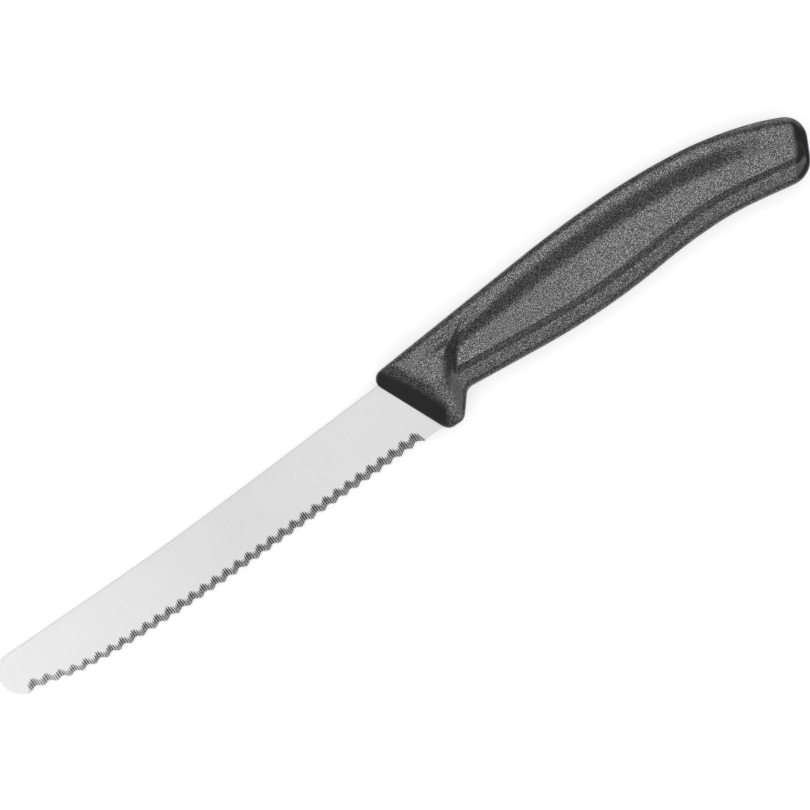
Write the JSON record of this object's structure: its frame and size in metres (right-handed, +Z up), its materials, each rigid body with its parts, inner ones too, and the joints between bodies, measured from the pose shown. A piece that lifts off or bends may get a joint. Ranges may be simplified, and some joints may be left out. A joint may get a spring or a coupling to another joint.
{
  "type": "tomato knife",
  "caption": "Small serrated kitchen knife with a round-tipped steel blade and a textured black moulded handle.",
  "frame": {"origin": "middle of the knife's outline on the surface that it lies on", "axes": "+X from the blade's tip to the handle's butt, +Y from the cutting edge to the spine, +Z up out of the side that the teeth are ground on"},
  "size_m": [0.2244, 0.0243, 0.0128],
  "materials": {
    "blade": "satin",
    "handle": "matte"
  },
  "bodies": {
    "root": {"blade": "blade", "handle": "handle"}
  },
  "joints": []
}
